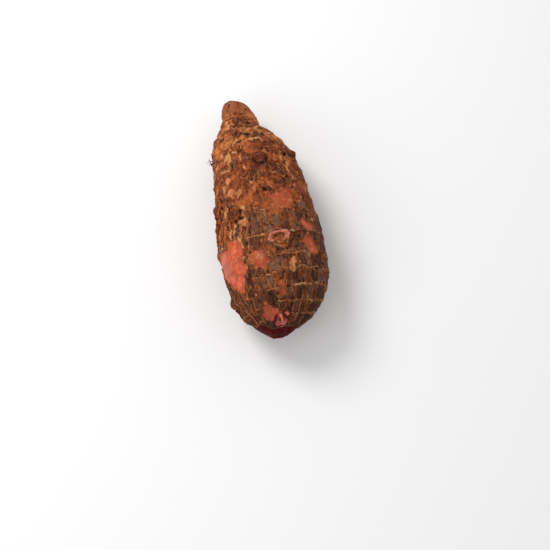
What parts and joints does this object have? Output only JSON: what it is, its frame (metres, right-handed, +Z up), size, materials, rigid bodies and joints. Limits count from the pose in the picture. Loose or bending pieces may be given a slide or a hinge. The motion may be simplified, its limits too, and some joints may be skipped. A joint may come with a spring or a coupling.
{
  "type": "malanga",
  "caption": "Club-shaped malanga tuber lying on its side, with a narrow neck, a blunt budded tip, ringed leaf scars and brown fibrous skin peeled in places.",
  "frame": {"origin": "middle of the bounding box, on the surface that the tuber rests on", "axes": "+Y along the tuber from the growing tip to the neck, +Z up from the resting surface, +X to the right of somebody looking from the tip to the neck"},
  "size_m": [0.0642, 0.16, 0.0594],
  "materials": {
    "skin": "dry corky brown skin, papery and fibrous, matte, with pink flesh where it is peeled"
  },
  "bodies": {
    "root": {"malanga": "skin"}
  },
  "joints": []
}
